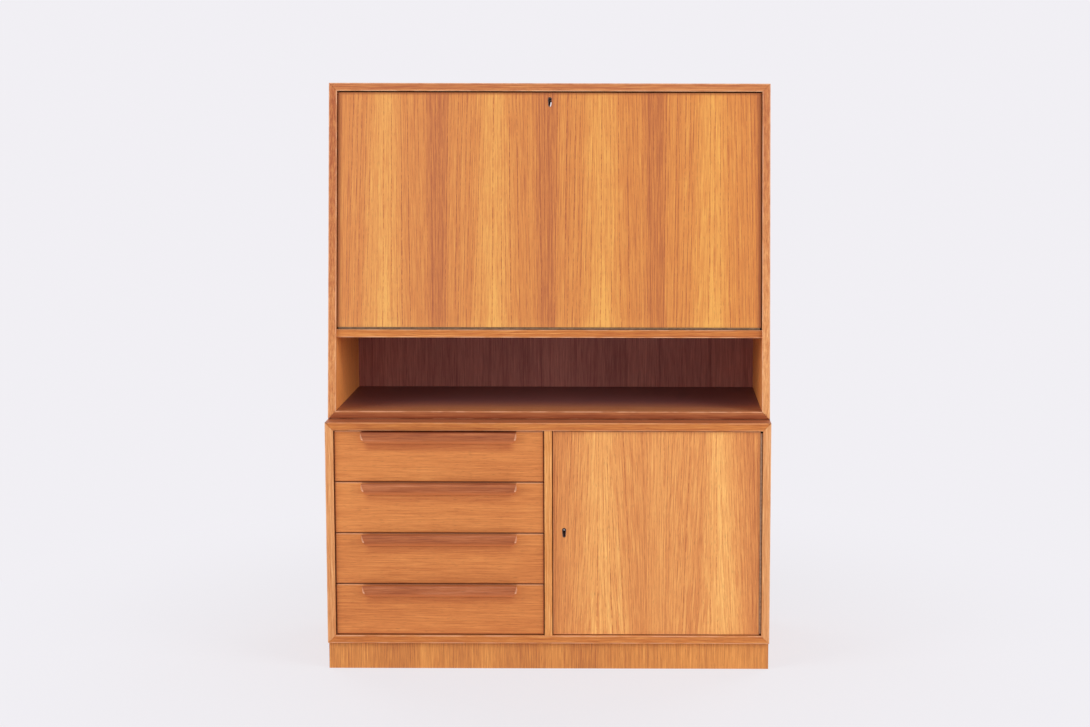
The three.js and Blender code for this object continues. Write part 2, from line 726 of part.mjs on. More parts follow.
/** Gallery: a low shelf on three uprights across the back of the desk, with two shallow drawers. */
function makeGallery() {
  const half = innerHalf - gallerySideGap;
  const back = backFace - seat;
  const front = back - galleryDepth;
  const uprightLow = deskFloorTopZ + seat;
  const uprightHigh = uprightLow + galleryDrawerHeight + 2 * frontGap;
  const uprights = [
    ['left', -half, -half + galleryBoard],
    ['centre', -galleryBoard / 2, galleryBoard / 2],
    ['right', half - galleryBoard, half],
  ];
  uprights.forEach(([name, x0, x1]) => {
    const upright = block([x0, front, uprightLow], [x1, back, uprightHigh]);
    piece(cabinet, `gallery_upright_${name}`, upright, TEAK_INNER);
  });
  piece(cabinet, 'gallery_shelf', block(
    [-half, front, uprightHigh + seat],
    [half, back, uprightHigh + seat + galleryBoard],
  ), TEAK_INNER);

  const low = uprightLow + slidePlay;
  const high = low + galleryDrawerHeight;
  const wall = galleryTrayWall;
  [['left', uprights[0][2], uprights[1][1]], ['right', uprights[1][2], uprights[2][1]]]
    .forEach(([name, bayFrom, bayTo]) => {
      const x0 = bayFrom + slidePlay;
      const x1 = bayTo - slidePlay;
      const y0 = front + frontGap;
      const y1 = back - 2 * frontGap;
      piece(cabinet, `gallery_drawer_${name}`, cut(
        solidOf(block([x0, y0, low], [x1, y1, high])),
        solidOf(block([x0 + wall, y0 + wall, low + galleryTrayFloor], [x1 - wall, y1 - wall, high + board])),
        solidOf(barY(galleryNotchRadius, y0 - board, y0 + board, (x0 + x1) / 2, high, 24)),
      ), BIRCH);
    });
}

// ---------------------------------------------------------------- assembly

const doorLock = lockShapes(doorBackset);
const flapLock = lockShapes(flapBackset);
const flapFrame = new THREE.Group();
flapFrame.applyMatrix4(flapPlace);
cabinet.add(flapFrame);

const doorMortise = solidOf(doorLock.mortise.clone().applyMatrix4(doorLockPlace));
const flapMortisePlace = flapPlace.clone().multiply(new THREE.Matrix4().makeTranslation(0, 0, flapHeight));
const flapMortise = solidOf(flapLock.mortise.clone().applyMatrix4(flapMortisePlace));

makePlinth();
makeLowerCarcass(doorMortise);
for (let index = 0; index < drawerCount; index += 1) {
  makeDrawer(index);
}
makeDoor(doorLock);
makeUpperCarcass(flapMortise);
makeFlap(flapFrame, flapLock);
makeStay(flapFrame, 'left', -1);
makeStay(flapFrame, 'right', 1);
makeGallery();

export default cabinet;
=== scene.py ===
"""A secretary desk in oiled teak: a low unit with drawers and a cupboard, and a desk unit on it."""

import math

import bpy
from mathutils import Matrix, Vector


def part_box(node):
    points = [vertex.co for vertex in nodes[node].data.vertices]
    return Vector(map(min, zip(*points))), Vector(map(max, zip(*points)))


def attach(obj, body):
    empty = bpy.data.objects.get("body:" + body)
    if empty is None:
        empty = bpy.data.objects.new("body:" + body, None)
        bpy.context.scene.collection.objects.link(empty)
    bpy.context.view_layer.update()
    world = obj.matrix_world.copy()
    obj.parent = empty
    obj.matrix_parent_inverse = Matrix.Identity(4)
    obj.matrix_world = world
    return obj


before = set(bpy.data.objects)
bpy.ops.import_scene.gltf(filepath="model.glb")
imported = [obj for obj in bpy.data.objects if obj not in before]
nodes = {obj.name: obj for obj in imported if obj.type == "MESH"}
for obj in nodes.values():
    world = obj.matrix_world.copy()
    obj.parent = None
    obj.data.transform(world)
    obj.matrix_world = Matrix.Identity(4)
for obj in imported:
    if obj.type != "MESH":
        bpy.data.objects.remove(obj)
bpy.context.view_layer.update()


# ---------------------------------------------------------------- room
# A pale studio. The floor takes a faint shadow and fades into the same pale grey as the air. A
# softbox stands on either side in front, a weaker pair behind, and an even light comes from all
# round.

PALE_AIR = (0.88, 0.865, 0.905)
SKY_WHITE = (1, 1, 1)
SKY_LIGHT = 0.38
FLOOR_PAINT = (0.8, 0.775, 0.79)
FLOOR_ROUGHNESS, FLOOR_SHEEN = 0.85, 0.2
FLOOR_HALF = 30
FADE_FROM, FADE_TO = 0.4, 1.6
FLOOR_EVENNESS = 0.75
DESK_MIDDLE = Vector((0, 0, 0.65))
SOFTBOX_SIZE = (2.2, 3.0)
SOFTBOX_DISTANCE = 4.3
SOFTBOX_RISE = math.radians(23)
# Each softbox's bearing, in degrees from straight in front of the desk, and its power in watts.
SOFTBOXES = {
    "front_left_softbox": (-58, 90), "front_right_softbox": (58, 104),
    "rear_left_softbox": (-135, 42), "rear_right_softbox": (135, 42)}


class Value:
    """A socket of a recipe. Each sum or product made with it adds a Math node."""

    def __init__(self, recipe, socket):
        self.recipe = recipe
        self.socket = socket

    def maths(self, operation, *others):
        return self.recipe.maths(operation, self, *others)

    def __add__(self, other):
        return self.maths("ADD", other)

    def __sub__(self, other):
        return self.maths("SUBTRACT", other)

    def __mul__(self, other):
        return self.maths("MULTIPLY", other)

    def __truediv__(self, other):
        return self.maths("DIVIDE", other)

    def __rsub__(self, other):
        return self.recipe.maths("SUBTRACT", other, self)

    def __rtruediv__(self, other):
        return self.recipe.maths("DIVIDE", other, self)

    __radd__ = __add__
    __rmul__ = __mul__

    def least(self, other):
        return self.maths("MINIMUM", other)

    def most(self, other):
        return self.maths("MAXIMUM", other)

    def size(self):
        return self.maths("ABSOLUTE")

    def off_whole(self):
        """How far it is past the nearest whole number."""
        return self - self.maths("ROUND")


class Recipe:
    """A tree of nodes, for a finish or for a mesh, built up value by value."""

    def __init__(self, tree):
        self.tree = tree
        tree.nodes.clear()

    def node(self, kind, settings=None, sockets=None, output=0):
        """Adds a node, makes its settings, then its socket values and links, and returns one
        output."""
        made = self.tree.nodes.new(kind)
        for name, value in (settings or {}).items():
            if name == "stops":
                stops = made.color_ramp.elements
                stops.remove(stops[1])
                for index, (position, colour) in enumerate(value):
                    stop = stops[0] if index == 0 else stops.new(position)
                    stop.position = position
                    stop.color = (*colour, 1)
            else:
                setattr(made, name, value)
        for name, value in (sockets or {}).items():
            socket = made.inputs[name]
            if isinstance(value, Value):
                self.tree.links.new(value.socket, socket)
            elif socket.type == "RGBA":
                socket.default_value = (*value, 1)
            else:
                socket.default_value = value
        return Value(self, made.outputs[output]) if made.outputs else None

    def maths(self, operation, *terms):
        return self.node("ShaderNodeMath", {"operation": operation}, dict(enumerate(terms)))

    def length(self, vector):
        return self.node("ShaderNodeVectorMath", {"operation": "LENGTH"}, {0: vector}, "Value")

    def rise(self, value, low, high, start=0.0, end=1.0):
        """Start at low, end at high, level past both, and a smooth curve between. Low may be the
        higher of the two."""
        return self.node("ShaderNodeMapRange", {"interpolation_type": "SMOOTHSTEP"}, {
            "Value": value, "From Min": low, "From Max": high, "To Min": start, "To Max": end})

    def near(self, value, close, far):
        """1 closer than close, 0 beyond far."""
        return self.rise(value, close, far, 1.0, 0.0)


def seen_directly(shader):
    """1 for what is seen straight, in a reflection or through glass, and 0 for light on its way."""
    return sum(shader.node("ShaderNodeLightPath", output=name)
               for name in ("Is Camera Ray", "Is Glossy Ray", "Is Transmission Ray"))


bpy.context.scene.view_settings.view_transform = "Standard"
air = bpy.data.worlds.new("pale_air")
air.use_nodes = True
bpy.context.scene.world = air
shader = Recipe(air.node_tree)
sky = shader.node("ShaderNodeBackground", None, {"Color": SKY_WHITE, "Strength": SKY_LIGHT})
backdrop = shader.node("ShaderNodeBackground", None, {"Color": PALE_AIR, "Strength": 1.0})
both = shader.node("ShaderNodeMixShader", None, {0: seen_directly(shader), 1: sky, 2: backdrop})
shader.node("ShaderNodeOutputWorld", None, {"Surface": both})

sheet = bpy.data.meshes.new("floor")
sheet.from_pydata(
    [(x * FLOOR_HALF, y * FLOOR_HALF, 0) for x, y in ((-1, -1), (1, -1), (1, 1), (-1, 1))],
    [], [(0, 1, 2, 3)])
floor = bpy.data.objects.new("floor", sheet)
bpy.context.scene.collection.objects.link(floor)
paint = bpy.data.materials.new("floor_paint")
paint.use_nodes = True
shader = Recipe(paint.node_tree)
from_middle = shader.length(shader.node("ShaderNodeTexCoord", output="Object"))
fade = shader.rise(from_middle, FADE_FROM, FADE_TO, FLOOR_EVENNESS, 1.0) * seen_directly(shader)
matt = shader.node("ShaderNodeBsdfPrincipled", None, {
    "Base Color": FLOOR_PAINT, "Roughness": FLOOR_ROUGHNESS, "Specular IOR Level": FLOOR_SHEEN})
glow = shader.node("ShaderNodeEmission", None, {"Color": PALE_AIR, "Strength": 1.0})
both = shader.node("ShaderNodeMixShader", None, {0: fade, 1: matt, 2: glow})
shader.node("ShaderNodeOutputMaterial", None, {"Surface": both})
sheet.materials.append(paint)

for name, (bearing, power) in SOFTBOXES.items():
    lamp = bpy.data.lights.new(name, "AREA")
    lamp.shape = "RECTANGLE"
    lamp.size, lamp.size_y = SOFTBOX_SIZE
    lamp.energy = power
    softbox = bpy.data.objects.new(name, lamp)
    aside = math.radians(bearing)
    softbox.location = DESK_MIDDLE + SOFTBOX_DISTANCE * Vector((
        math.sin(aside) * math.cos(SOFTBOX_RISE), -math.cos(aside) * math.cos(SOFTBOX_RISE),
        math.sin(SOFTBOX_RISE)))
    softbox.rotation_euler = (DESK_MIDDLE - softbox.location).to_track_quat("-Z", "Y").to_euler()
    softbox.visible_camera = False
    bpy.context.scene.collection.objects.link(softbox)


# ---------------------------------------------------------------- camera
# A long lens at the desk's own height, a little right of its middle, looking slightly down. The
# lens is shifted, because the desk stands left of and below the lens's axis.

CAMERA_PLACE = (0.20385, -4.39739, 1.3096)
CAMERA_DOWN, CAMERA_LEFT, CAMERA_ROLL = 0.1068, 0.0017, 0.0020
LENS, SENSOR = 62.752, 36
SHIFT = (-0.08358, -0.06478)

lens = bpy.data.cameras.new("camera")
lens.lens = LENS
lens.sensor_width = SENSOR
lens.shift_x, lens.shift_y = SHIFT
camera = bpy.data.objects.new("camera", lens)
upright = Matrix.Rotation(math.pi / 2, 4, "X")
tilt = Matrix.Rotation(-CAMERA_DOWN, 4, "X")
turn = Matrix.Rotation(CAMERA_LEFT, 4, "Z")
roll = Matrix.Rotation(CAMERA_ROLL, 4, "Z")
camera.matrix_world = Matrix.Translation(CAMERA_PLACE) @ turn @ tilt @ upright @ roll
bpy.context.scene.collection.objects.link(camera)
bpy.context.scene.camera = camera


# ---------------------------------------------------------------- plinth
# A low frame of four rails, mitred at the corners, that lifts the desk off the floor. Its veneer
# is cut from offcuts of teak, with the grain standing up, so it changes tone every hand's width.

PLINTH_SHADES = ((0.51, 0.172, 0.055), (0.69, 0.27, 0.073), (0.84, 0.37, 0.102))
PORE_BROWN = (0.16, 0.05, 0.022)
OILED_ROUGHNESS, OILED_SHEEN = 0.46, 0.25
GRAIN_RELIEF = 0.00005
# The patterns of straight-grained teak: cells a metre across the wood and along it, their detail
# and their roughness.
STREAKS = (70, 1.3, 4, 0.6)
LINES = (300, 5, 3, 0.7)
FLECKS = (520, 16, 2, 0.65)
PORES = (1500, 60, 1, 0.5)
OFFCUTS = (9, 1.5, 1)


class Wood(Recipe):
    """A wood finish: where a point is on the piece, the wood's patterns, and the surface itself."""

    def __init__(self, name, *pieces):
        self.finish = bpy.data.materials.new(name)
        self.finish.use_nodes = True
        for piece in pieces:
            nodes[piece].data.materials.clear()
            nodes[piece].data.materials.append(self.finish)
        super().__init__(self.finish.node_tree)
        self.place = self.node("ShaderNodeTexCoord", output="Object")
        self.x, self.y, self.z = (
            self.node("ShaderNodeSeparateXYZ", None, {0: self.place}, index) for index in range(3))

    def join(self, x, y, z):
        return self.node("ShaderNodeCombineXYZ", None, {0: x, 1: y, 2: z})

    def blend(self, factor, first, second, way="MIX"):
        """One colour laid over another."""
        settings = {"data_type": "RGBA", "blend_type": way, "clamp_result": False}
        return self.node("ShaderNodeMix", settings, {0: factor, 6: first, 7: second}, 2)

    def noise(self, run, across, along, detail=2.0, roughness=0.5, place=None):
        """Noise about zero with so many cells a metre across the wood and along its run."""
        scale = tuple(along if axis == run else across for axis in "XYZ")
        spot = self.node("ShaderNodeVectorMath", {"operation": "MULTIPLY"}, {
            0: place or self.place, 1: scale})
        return self.node("ShaderNodeTexNoise", None, {
            "Vector": spot, "Scale": 1.0, "Detail": detail, "Roughness": roughness}) - 0.5

    def grain(self, run, tone, shades, streaks=0.4, lines=1.4, flecks=2.0, pores=0.4, place=None):
        """Straight-grained wood along an axis: colour, roughness and height. Tone runs from 0, the
        darkest of the three shades, to 1, the lightest, and the figure may go past both. Streaks,
        lines, flecks and pores say how strongly each of them shows."""
        streak = self.noise(run, *STREAKS, place)
        line = self.noise(run, *LINES, place)
        fleck = self.noise(run, *FLECKS, place)
        pore = self.rise(self.noise(run, *PORES, place), 0.1, 0.26)
        level = tone + streak * streaks + line * lines + fleck * flecks
        dark, middle, light = shades
        darker = tuple(deep * deep / mid for deep, mid in zip(dark, middle))
        lighter = tuple(pale * pale / mid for pale, mid in zip(light, middle))
        stops = [(0.0, darker), (0.25, dark), (0.5, middle), (0.75, light), (1.0, lighter)]
        colour = self.node("ShaderNodeValToRGB", {"stops": stops}, {0: level * 0.5 + 0.25})
        colour = self.blend(pore * pores, colour, PORE_BROWN)
        return colour, OILED_ROUGHNESS + pore * 0.2 + line * 0.1, line * 0.4 - pore

    def close(self, colour, roughness, height):
        """Ends the finish with its colour, its roughness and the height of its relief."""
        normal = self.node("ShaderNodeBump", None, {
            "Strength": 1.0, "Distance": GRAIN_RELIEF, "Height": height})
        surface = self.node("ShaderNodeBsdfPrincipled", None, {
            "Base Color": colour, "Roughness": roughness, "Normal": normal,
            "Specular IOR Level": OILED_SHEEN})
        self.node("ShaderNodeOutputMaterial", None, {"Surface": surface})


wood = Wood("plinth_veneer", *(f"plinth_{side}" for side in ("front", "back", "left", "right")))
wood.close(*wood.grain("Z", 0.5 + wood.noise("Z", *OFFCUTS) * 1.5, PLINTH_SHADES))


# ---------------------------------------------------------------- lower carcass
# Four 18 mm boards, veneered on both faces, mitred at the corners and lipped with solid teak on
# their front edges, and a divider let into the top and bottom boards.

FACE_SHADES = ((0.5, 0.165, 0.055), (0.64, 0.24, 0.075), (0.78, 0.34, 0.11))
# Painted shade: the lower unit's top board is darker, as its top face lies in shade.
SHADED_TOP_SHADES = ((0.33, 0.09, 0.038), (0.42, 0.13, 0.05), (0.5, 0.18, 0.07))
LIP_SHADES = ((0.485, 0.15, 0.055), (0.655, 0.252, 0.085), (0.82, 0.39, 0.155))
RED_LIP_SHADES = ((0.5, 0.145, 0.036), (0.655, 0.23, 0.056), (0.82, 0.36, 0.11))
# Pale worn teak, also laid on arrises as a painted highlight.
WORN_AND_LIT_TEAK = (0.84, 0.46, 0.27)
FACE_CLOUDS, LIP_CLOUDS, RIM_WEAR_AND_LIGHT_PATCHES = (13, 1.2, 2), (60, 3, 2), (28, 28, 2)
LIP_THICKNESS = 0.005
INNER_FACE_DEPTH = 0.003
BOARD_RIM = 0.003
HAIRLINE = (0.0001, 0.0003)
# Where painted shade lies on a niche's floor, for the shadow under the shelf: the depth behind the
# front at which it begins and is full, and how much nearer it comes at the ends. Then how far up
# the painted shade on a lip's foot reaches, and how far a knock reaches from its corner.
PAINTED_SHADE_DEPTH, PAINTED_SHADE_AT_ENDS = (-0.05, 0.17), 0.03
LIP_FOOT_SHADE = (-0.004, 0.02)
KNOCK_REACH = (0.002, 0.012)
FINE_ARRIS = 0.0004
ARRIS_ANGLE = math.radians(30)
WELD_REACH = 0.00002


def ease(name, width=FINE_ARRIS):
    """Takes the sharpness off a CAD node's edges with a fine bevel, on welded corners."""
    weld = nodes[name].modifiers.new("weld", "WELD")
    weld.merge_threshold = WELD_REACH
    arris = nodes[name].modifiers.new("arris", "BEVEL")
    arris.width = width
    arris.segments = 2
    arris.limit_method = "ANGLE"
    arris.angle_limit = ARRIS_ANGLE


def inset(value, low, high):
    """How far a point lies inside the nearer of two faces."""
    return (value - low).least(high - value)


def behind_front(wood, low, lean):
    """How far a point lies behind a piece's front, which goes back by lean for each metre up."""
    return wood.y - low[1] - (wood.z - low[2]) * lean


def worn_and_lit_rim(wood, low, high, reach, lean=0.0):
    """1 on a piece's arrises, worn and with a painted highlight, fading out over reach, in patches.
    """
    across = inset(wood.x, low[0], high[0])
    deep = behind_front(wood, low, lean).least(high[1] - wood.y)
    up = inset(wood.z, low[2], high[2])
    second_nearest = across.least(deep).most(across.most(deep).least(up))
    patch = wood.rise(wood.noise("X", *RIM_WEAR_AND_LIGHT_PATCHES), -0.12, 0.1)
    return wood.near(second_nearest, reach * 0.3, reach) * (0.35 + patch * 0.65)


def board(name, run, face_tone, lip_tones, lean=0.0, faces=FACE_SHADES, lips=LIP_SHADES,
          inner=None, painted_shade=None, lip_foot_shade=0.0, rim_wear_and_light=0.75, knocked=False):
    """A carcass board: veneered faces, and a solid lip on the front edge whose tone goes from the
    first of its two to the second, from the left or from the foot. Inner names the lighter shades
    of a side's inner face, painted light for the niche's walls; painted_shade the colour that faces
    go towards at the back, painted shade as under the niche's shelf; lip_foot_shade how much darker
    painted shade makes the lip's foot; and rim_wear_and_light how pale wear and a painted highlight
    make the arrises. A knocked board's front corners are bruised dark."""
    wood = Wood(name + "_teak", name)
    low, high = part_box(name)
    axis = "XYZ".index(run)
    front = behind_front(wood, low, lean)
    face_tone = face_tone + wood.noise(run, *FACE_CLOUDS) * 0.6
    colour, roughness, height = wood.grain(run, face_tone, faces)
    # A side's inner face takes lighter shades, as painted light on the niche's walls.
    if inner:
        inner_colour, *_ = wood.grain(run, 0.75, inner)
        outer = max(high[0], -low[0])
        inside = wood.rise(outer - wood.x.size(), INNER_FACE_DEPTH, INNER_FACE_DEPTH + 0.001)
        colour = wood.blend(inside, colour, inner_colour)
    # Painted shade: the faces darken towards the back, as under the niche's shelf.
    if painted_shade:
        end = wood.x.size() / high[0]
        in_painted_shade = wood.rise(front + end * end * end * PAINTED_SHADE_AT_ENDS, *PAINTED_SHADE_DEPTH)
        colour = wood.blend(in_painted_shade * 0.92, colour, painted_shade)
    along = (wood.x, wood.y, wood.z)[axis]
    lip_tone = wood.rise(along, low[axis], high[axis], *lip_tones)
    lip_tone = lip_tone + wood.noise(run, *LIP_CLOUDS) * 0.4
    # Painted shade darkens the lip towards its foot.
    if lip_foot_shade:
        lip_tone = lip_tone - wood.near(wood.z - low[2], *LIP_FOOT_SHADE) * lip_foot_shade
    lip_colour, *_ = wood.grain(run, lip_tone, lips, 0.3)
    on_lip = wood.near(front, LIP_THICKNESS - 0.0002, LIP_THICKNESS)
    colour = wood.blend(on_lip, colour, lip_colour)
    # Wear and a painted highlight make the arrises pale.
    rim = worn_and_lit_rim(wood, low, high, BOARD_RIM, lean)
    colour = wood.blend(rim * rim_wear_and_light, colour, WORN_AND_LIT_TEAK)
    if knocked:
        from_corner = high[0] - wood.x.size() + (high[2] - wood.z) + front
        colour = wood.blend(wood.near(from_corner, *KNOCK_REACH) * 0.7, colour, PORE_BROWN)
    seam = wood.near((front - LIP_THICKNESS).size(), *HAIRLINE)
    colour = wood.blend(seam * 0.5, colour, PORE_BROWN)
    wood.close(colour, roughness + rim * 0.12, height - seam)
    ease(name)


board("lower_side_left", "Z", 0.5, (0.68, 0.86))
board("lower_side_right", "Z", 0.55, (0.8, 0.82))
board("lower_bottom", "X", 0.45, (0.36, 0.44), lips=RED_LIP_SHADES)
board("lower_top", "X", 0.4, (0.24, 0.32), faces=SHADED_TOP_SHADES, lips=RED_LIP_SHADES, rim_wear_and_light=0.35,
      knocked=True)
board("lower_divider", "Z", 0.5, (0.85, 0.9), lips=RED_LIP_SHADES)


# ---------------------------------------------------------------- cupboard inside
# The back panel is plywood with a teak face, pinned into rabbets in the carcass. The one shelf lies
# on four pins. Both are duller than the fronts, because the light has not reached them.

INNER_SHADES = ((0.3, 0.095, 0.05), (0.42, 0.145, 0.075), (0.54, 0.21, 0.105))
PLY_SHADES = ((0.46, 0.27, 0.13), (0.6, 0.38, 0.2), (0.7, 0.48, 0.28))
PLY_GRAIN = {"streaks": 0.3, "lines": 0.9, "flecks": 1.2}
BACK_CLOUDS = (8, 1, 2)
PIN_STEEL = (0.3, 0.28, 0.26)
PIN_INSET, PIN_PITCH = 0.008, 0.1
PIN_HEAD, PIN_DENT = (0.0016, 0.0019), (0.0016, 0.003)


def back_panel(name, tone, shades=INNER_SHADES, plain_above=None):
    """A pinned plywood back: teak inside, bare plywood outside, and a pin about every 100 mm round
    it. Tone gives the teak's tone. Above plain_above that face is plain teak, as on the fronts."""
    wood = Wood(name + "_ply", name)
    low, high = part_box(name)
    colour, roughness, height = wood.grain("Z", tone(wood), shades, 0.25)
    if plain_above:
        plain, *_ = wood.grain("Z", 0.4 + wood.noise("Z", *BACK_CLOUDS), FACE_SHADES)
        colour = wood.blend(wood.rise(wood.z, plain_above, plain_above + 0.01), colour, plain)
    bare, *_ = wood.grain("Z", 0.5, PLY_SHADES, **PLY_GRAIN)
    outside = wood.rise(wood.y, high[1] - 0.0012, high[1] - 0.001)
    ways = []
    for value, start, end in ((wood.x, low[0], high[0]), (wood.z, low[2], high[2])):
        run = end - start - 2 * PIN_INSET
        pitch = run / round(run / PIN_PITCH)
        off_pin = ((value - start - PIN_INSET) / pitch).off_whole() * pitch
        ways.append((off_pin, inset(value, start, end) - PIN_INSET))
    (off_pin_x, off_line_x), (off_pin_z, off_line_z) = ways
    down_sides = wood.length(wood.join(off_line_x, off_pin_z, 0))
    along_ends = wood.length(wood.join(off_pin_x, off_line_z, 0))
    reach = down_sides.least(along_ends)
    head = wood.near(reach, *PIN_HEAD) * outside
    dent = wood.near(reach, *PIN_DENT) * outside
    colour = wood.blend(outside, colour, bare)
    colour = wood.blend(dent * 0.5, colour, PORE_BROWN)
    colour = wood.blend(head, colour, PIN_STEEL)
    wood.close(colour, roughness, height - dent * 4)


back_panel("lower_back", lambda wood: 0.5 + wood.noise("Z", *BACK_CLOUDS))
board("cupboard_shelf", "X", 0.5, (0.5, 0.5), faces=INNER_SHADES)


# ---------------------------------------------------------------- drawer fronts
# Four equal fronts, veneered with the teak's grain lying across, from one even, straight sheet.
# Each end shows the birch dovetails of the drawer's sides, which stop short of the face.

DRAWER_SHADES = ((0.55, 0.17, 0.048), (0.665, 0.227, 0.063), (0.77, 0.294, 0.084))
# The colour of the painted shadow under the pulls.
PULL_SHADOW_COLOUR = (0.74, 0.61, 0.64)
# The colour of the painted shade in the gaps between the fronts.
GAP_SHADE_RED = (0.2, 0.036, 0.012)
# The colour of the painted shade in the recess along the pull's top.
RECESS_SHADE = (0.16, 0.024, 0.003)
BIRCH_SHADES = ((0.5, 0.31, 0.15), (0.64, 0.43, 0.235), (0.74, 0.54, 0.33))
FRONT_CLOUDS = (16, 1.6, 2)
TAIL_PITCH, TAIL_SLOPE, TAIL_LAP = 0.022, 0.17, 0.006
PIN_HALF = 0.0032
# How far each mark on a front reaches, from where it is full to where it ends: down from the top
# edge, in from the foot and the ends, down from the pull, and back from the face.
WORN_AND_LIT_DOWN, RECESS_SHADE_DOWN, RECESS_SHADE_BACK = (0.0012, 0.0026), (0.002, 0.0035), (0.0005, 0.0025)
GAP_FOOT, GAP_ENDS = (0.0007, 0.0024), (0.0005, 0.003)
PULL_SHADOW_DOWN, PULL_SHADOW_ENDS, RECESS_SHADE_ENDS = (0.01, 0.023), 0.02, 0.003
# For each front: its tone, how dark the painted shadow is under its pull, and how dark the painted
# shade is along its top edge where the pull is glued on.
FRONTS = {1: (0.6, 0.86, 0.9), 2: (0.68, 0.56, 0.5), 3: (0.5, 0.5, 0.35), 4: (0.52, 0.5, 0.4)}


def off_tail_pin(wood, foot):
    """How far up or down the nearest pin between two dovetails is, the lowest being at the foot."""
    return ((wood.z - foot) / TAIL_PITCH).off_whole().size() * TAIL_PITCH


for number, (tone, pull_shadow_strength, recess_shade_strength) in FRONTS.items():
    name = f"drawer_{number}_front"
    wood = Wood(name + "_teak", name)
    low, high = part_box(name)
    colour, roughness, height = wood.grain(
        "X", tone + wood.noise("X", *FRONT_CLOUDS) * 0.9, DRAWER_SHADES)
    from_top = high[2] - wood.z
    # Wear and a painted highlight make the front's top edge pale.
    colour = wood.blend(wood.near(from_top, *WORN_AND_LIT_DOWN) * 0.5, colour, WORN_AND_LIT_TEAK)
    sides = inset(wood.x, low[0], high[0])
    # Painted shade in the gaps at the front's foot and ends.
    gap_shade = wood.near(wood.z - low[2], *GAP_FOOT).most(wood.near(sides, *GAP_ENDS))
    colour = wood.blend(gap_shade * 0.75, colour, GAP_SHADE_RED)

    box_low, box_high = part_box(f"drawer_{number}_box")
    from_face = wood.y - low[1]
    from_lap = from_face - TAIL_LAP
    off_pin = off_tail_pin(wood, box_low[2]) - from_lap * TAIL_SLOPE
    tail = wood.rise(off_pin, PIN_HALF, PIN_HALF + 0.0002) * wood.rise(from_lap, 0.0, 0.0002)
    tail = tail * wood.near(sides, 0.0001, 0.0004)
    tail = tail * wood.rise(inset(wood.z, box_low[2], box_high[2]), 0.0, 0.0002)
    birch, *_ = wood.grain("Y", 0.5, BIRCH_SHADES, 0.3)
    colour = wood.blend(tail, colour, birch)

    pull_low, pull_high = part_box(f"drawer_{number}_pull")
    # Painted shadow: a soft dark band under the pull.
    under_pull = inset(wood.x, pull_low[0], pull_high[0])
    pull_shadow = wood.near(pull_low[2] - wood.z, *PULL_SHADOW_DOWN)
    pull_shadow = pull_shadow * wood.rise(under_pull, 0.0, PULL_SHADOW_ENDS)
    colour = wood.blend(pull_shadow * pull_shadow_strength, colour, PULL_SHADOW_COLOUR, "MULTIPLY")
    # Painted shade in the dark line where the pull meets the front's top edge.
    in_recess_shade = wood.near(from_top, *RECESS_SHADE_DOWN) * wood.near(from_face, *RECESS_SHADE_BACK)
    in_recess_shade = in_recess_shade * wood.rise(under_pull, 0.0, RECESS_SHADE_ENDS)
    colour = wood.blend(in_recess_shade * recess_shade_strength, colour, RECESS_SHADE)
    wood.close(colour, roughness, height)
    ease(name)


# ---------------------------------------------------------------- lip pulls
# Each drawer's pull is a long bar of solid teak, redder than the fronts, with slanted ends and a
# lip that leans out, glued to the front's top edge. Hands have worn its ends pale, and a painted
# highlight makes them paler.

PULL_SHADES = ((0.38, 0.106, 0.04), (0.535, 0.165, 0.056), (0.66, 0.245, 0.108))
PULL_WORN_AND_LIT_TOP = (0.58, 0.27, 0.19)
PULL_ENDS_PALE = (0.95, 0.55, 0.34)
PULL_FOOT_LIT = (0.78, 0.26, 0.086)
PULL_CLOUDS = (60, 5, 3)
PULL_END_SLANT = 0.005 / 0.018
PULL_FOOT = 0.01
PULL_TOP_WEAR_AND_LIGHT, PULL_TOP_SHADE_DOWN, PULL_END_LINE = (0.001, 0.009), (0.0012, 0.0022), (0.0004, 0.0014)
SOFT_ARRIS = 0.0005
# How dark the painted shade is along the top of each pull.
PULL_TOP_SHADE = {1: 0.85, 2: 0.45, 3: 0.3, 4: 0.35}

for number, recess_shade_strength in PULL_TOP_SHADE.items():
    name = f"drawer_{number}_pull"
    wood = Wood(name + "_teak", name)
    low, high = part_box(name)
    cloud = wood.noise("X", *PULL_CLOUDS)
    colour, roughness, height = wood.grain("X", 0.45 + cloud * 1.4, PULL_SHADES, 0.5)
    from_top = high[2] - wood.z
    # Rubbed wear and a painted highlight make the pull's top paler.
    worn_and_lit = wood.near(from_top, *PULL_TOP_WEAR_AND_LIGHT) * wood.rise(cloud, -0.2, 0.05)
    colour = wood.blend(worn_and_lit * 0.12, colour, PULL_WORN_AND_LIT_TOP)
    # Painted light lifts the pull's foot, where its hollow lies in shade.
    above_foot = wood.z - low[2] - PULL_FOOT
    foot_lit = wood.rise(above_foot, 0.0, 0.001 - PULL_FOOT, 0.0, 0.8)
    colour = wood.blend(foot_lit, colour, PULL_FOOT_LIT)
    # Wear and a painted highlight make a pale line along the slanted ends.
    from_end = inset(wood.x, low[0], high[0]) - from_top * PULL_END_SLANT
    pale = wood.near(from_end, *PULL_END_LINE) * wood.rise(above_foot, -0.002, 0.0)
    pale = pale * wood.rise(above_foot, 0.001, 0.004, 1.0, 0.5)
    colour = wood.blend(pale * 0.95, colour, PULL_ENDS_PALE)
    # Painted shade along the pull's top.
    colour = wood.blend(wood.near(from_top, *PULL_TOP_SHADE_DOWN) * recess_shade_strength, colour, RECESS_SHADE)
    wood.close(colour, roughness, height)
    ease(name, SOFT_ARRIS)


# ---------------------------------------------------------------- drawer boxes
# Birch sides and back, joined by through dovetails at the rear corners, with a thin plywood bottom,
# and grooves for the runners that carry them.

